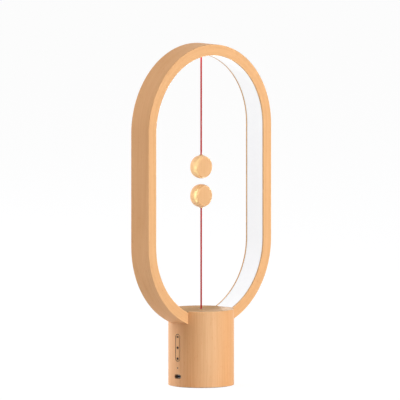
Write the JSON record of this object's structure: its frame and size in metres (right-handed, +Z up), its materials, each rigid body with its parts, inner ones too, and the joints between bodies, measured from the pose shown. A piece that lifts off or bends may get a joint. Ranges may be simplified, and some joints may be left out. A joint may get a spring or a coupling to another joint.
{
  "type": "magnetic balance lamp",
  "caption": "Table lamp with a wooden stadium-shaped ring of light on a round base, switched by drawing two hanging magnetic balls together.",
  "frame": {"origin": "middle of the underside of the foot pad, on the surface that the lamp stands on", "axes": "+Z up; the ring lies in the XZ plane, its width along X; the front is -Y; the key bar and the charging socket are on the -X side"},
  "size_m": [0.1996, 0.0768, 0.4006],
  "materials": {
    "ring_wood": "satin varnished beech",
    "base_wood": "satin varnished beech",
    "ball_wood": "glossy varnished beech",
    "key_wood": "satin varnished beech",
    "white_cover": "translucent white, lit from behind",
    "red_string": "thin twisted cord",
    "strip_film": "flexible circuit",
    "light_chip": "phosphor",
    "brass": "turned",
    "steel": "plated",
    "magnet_metal": "nickel plated",
    "black_plastic": "moulded",
    "brown_plastic": "moulded",
    "grey_plastic": "moulded",
    "clear_plastic": "clear",
    "white_plastic": "moulded",
    "soft_pad": "felted silicone",
    "board": "solder mask",
    "battery_wrap": "pouch",
    "foam": "foam",
    "lead_cover": "sleeved"
  },
  "bodies": {
    "base": {"ballast_disc": "steel", "base_eyelet": "brown_plastic", "base_shell": "base_wood", "base_top_cap": "base_wood", "battery_cell": "battery_wrap", "battery_connector": "white_plastic", "battery_lead": "lead_cover", "battery_pad": "foam", "board_components": "black_plastic", "board_screws": "steel", "bottom_plate": "grey_plastic", "bottom_screws": "steel", "bracket_screws": "steel", "chassis": "black_plastic", "chassis_screws": "steel", "control_board": "board", "diffuser": "white_cover", "foot_pad": "soft_pad", "indicator_led": "light_chip", "indicator_light_rod": "clear_plastic", "key_dome_lower": "steel", "key_dome_middle": "steel", "key_dome_upper": "steel", "led_chips": "light_chip", "led_strip": "strip_film", "microswitch_case": "black_plastic", "port_bezel": "brown_plastic", "ring_frame": "ring_wood", "ring_screws": "steel", "strip_connector": "white_plastic", "strip_lead": "lead_cover", "switch_bracket": "steel", "switch_connector": "white_plastic", "switch_lead": "lead_cover", "threaded_inserts": "brass", "upper_anchor": "brass", "usb_socket_shell": "steel", "usb_socket_tongue": "black_plastic"},
    "upper_knot": {"upper_knot": "red_string"},
    "upper_string": {"upper_string": "red_string"},
    "upper_ball": {"upper_ball": "ball_wood", "upper_magnet": "magnet_metal", "upper_plug": "ball_wood", "upper_ferrule": "brass"},
    "pull_rod": {"pull_rod": "white_plastic", "lower_string_tail": "red_string", "return_spring": "steel"},
    "lower_knot": {"lower_knot": "red_string"},
    "lower_string": {"lower_string": "red_string"},
    "lower_ferrule": {"lower_ferrule": "brass"},
    "lower_ball": {"lower_ball": "ball_wood", "lower_magnet": "magnet_metal", "lower_plug": "ball_wood"},
    "microswitch_lever": {"microswitch_lever": "steel"},
    "microswitch_button": {"microswitch_button": "lead_cover"},
    "key_carrier": {"key_carrier": "black_plastic"},
    "key_bar": {"key_bar": "key_wood"}
  },
  "joints": [
    {"name": "upper_swing_front", "type": "hinge", "parent": "base", "child": "upper_knot", "pos_m": [0, 0, 0.3863], "axis": [1, 0, 0], "range_deg": [-60, 60]},
    {"name": "upper_swing_side", "type": "hinge", "parent": "upper_knot", "child": "upper_string", "pos_m": [0, 0, 0.3863], "axis": [0, 1, 0], "range_deg": [-30, 30]},
    {"name": "upper_ball_turn", "type": "hinge", "parent": "upper_string", "child": "upper_ball", "pos_m": [0, 0, 0.2562], "axis": [0, 0, 1], "continuous": true},
    {"name": "switch_pull", "type": "slide", "parent": "base", "child": "pull_rod", "axis": [0, 0, 1], "range_m": [-0.003, 0], "stiffness_N_per_m": 60, "springref_m": 0.002, "deforming": ["return_spring"]},
    {"name": "lower_swing_front", "type": "hinge", "parent": "pull_rod", "child": "lower_knot", "pos_m": [0, 0, 0.0882], "axis": [1, 0, 0], "range_deg": [-15, 15], "stiffness_Nm_per_rad": 0.06},
    {"name": "lower_swing_side", "type": "hinge", "parent": "lower_knot", "child": "lower_string", "pos_m": [0, 0, 0.0882], "axis": [0, 1, 0], "range_deg": [-15, 15], "stiffness_Nm_per_rad": 0.06},
    {"name": "lower_ball_drop", "type": "slide", "parent": "lower_string", "child": "lower_ferrule", "axis": [0, 0, 1], "range_m": [-0.114, 0], "stiffness_N_per_m": 2, "springref_m": 0.05, "deforming": ["lower_string"]},
    {"name": "lower_ball_turn", "type": "hinge", "parent": "lower_ferrule", "child": "lower_ball", "pos_m": [0, 0, 0.2223], "axis": [0, 0, 1], "continuous": true},
    {"name": "lever_swing", "type": "hinge", "parent": "base", "child": "microswitch_lever", "pos_m": [-0.0054, 0.0079, 0.0553], "axis": [0, 1, 0], "range_deg": [0, 14]},
    {"name": "button_travel", "type": "slide", "parent": "base", "child": "microswitch_button", "axis": [0, 0, 1], "range_m": [-0.0006, 0]},
    {"name": "key_press", "type": "slide", "parent": "base", "child": "key_carrier", "axis": [1, 0, 0], "range_m": [0, 0.0005], "stiffness_N_per_m": 400, "springref_m": -0.0001},
    {"name": "key_rock", "type": "hinge", "parent": "key_carrier", "child": "key_bar", "pos_m": [-0.03345, 0, 0.0463], "axis": [0, 1, 0], "range_deg": [-2, 2], "stiffness_Nm_per_rad": 0.3}
  ],
  "couplings": [
    {"joint": "lever_swing", "follows": "switch_pull", "rad_per_m": -80},
    {"joint": "button_travel", "follows": "switch_pull", "ratio": 0.2}
  ]
}
